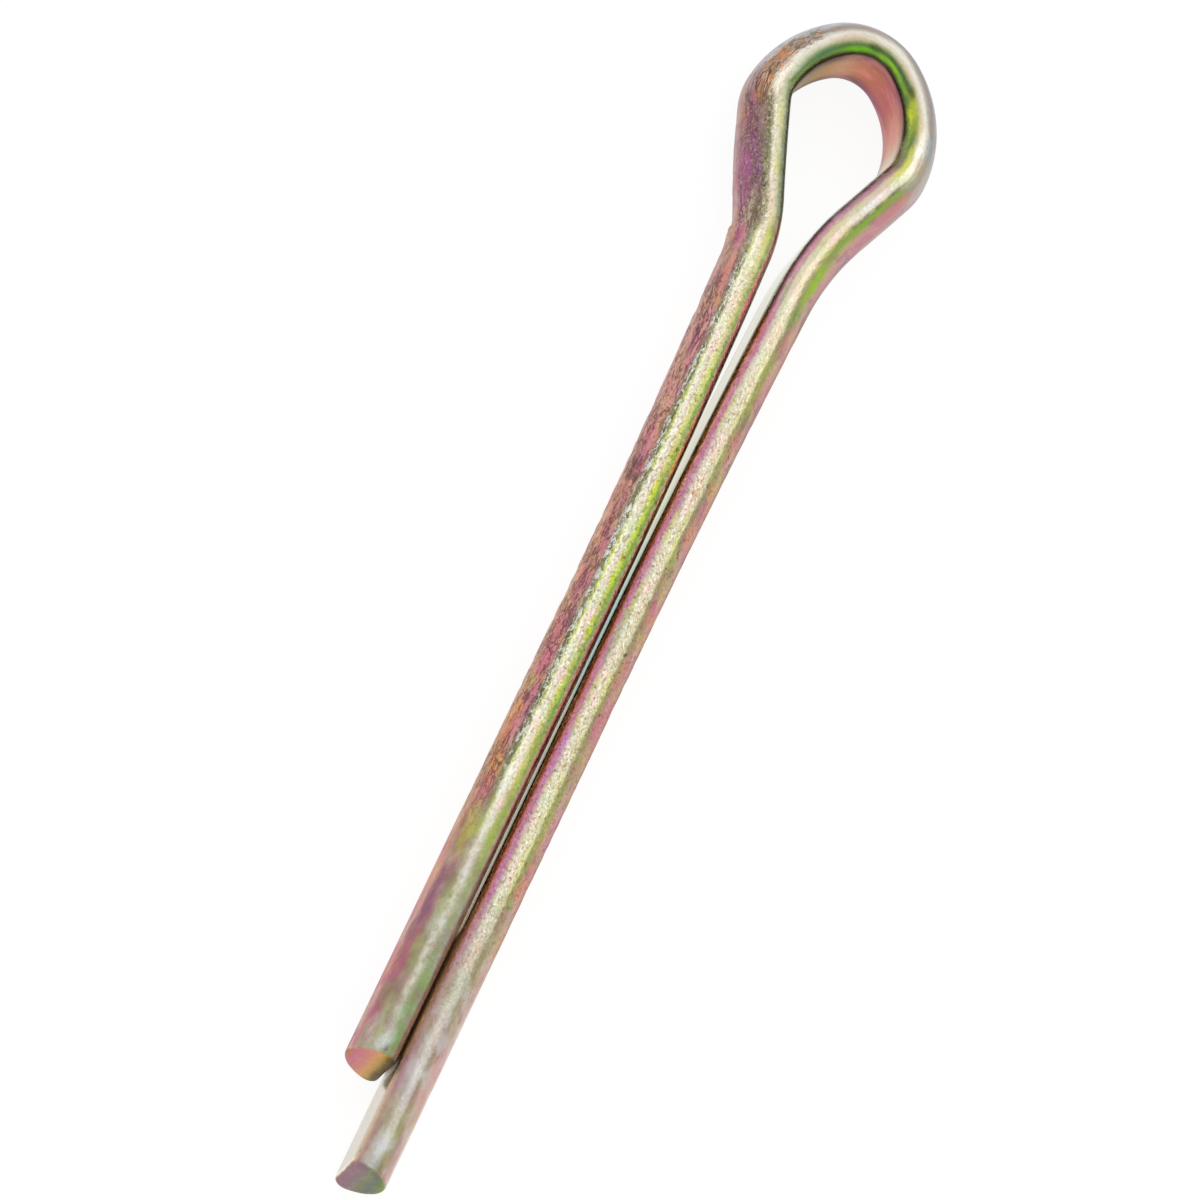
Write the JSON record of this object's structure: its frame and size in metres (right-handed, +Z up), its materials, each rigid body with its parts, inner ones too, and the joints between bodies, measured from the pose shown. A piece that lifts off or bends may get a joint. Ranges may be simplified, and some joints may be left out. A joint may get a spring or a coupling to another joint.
{
  "type": "cotter pin",
  "caption": "Split cotter pin: half-round wire folded into a looped eye and close-set prongs of unequal length, which pass through a cross hole and are bent apart to lock it.",
  "frame": {"origin": "on the shank's axis at the seat under the eye, where the outer sides of the legs reach the shank's full width", "axes": "+X down the shank from the eye to the prongs' tips, +Y toward the long prong, +Z up from the surface the pin lies on"},
  "size_m": [0.0531, 0.0083, 0.0034],
  "materials": {
    "plated_steel": "zinc plate with an iridescent yellow passivation, satin"
  },
  "bodies": {
    "root": {"cotter_pin": "plated_steel"}
  },
  "joints": []
}
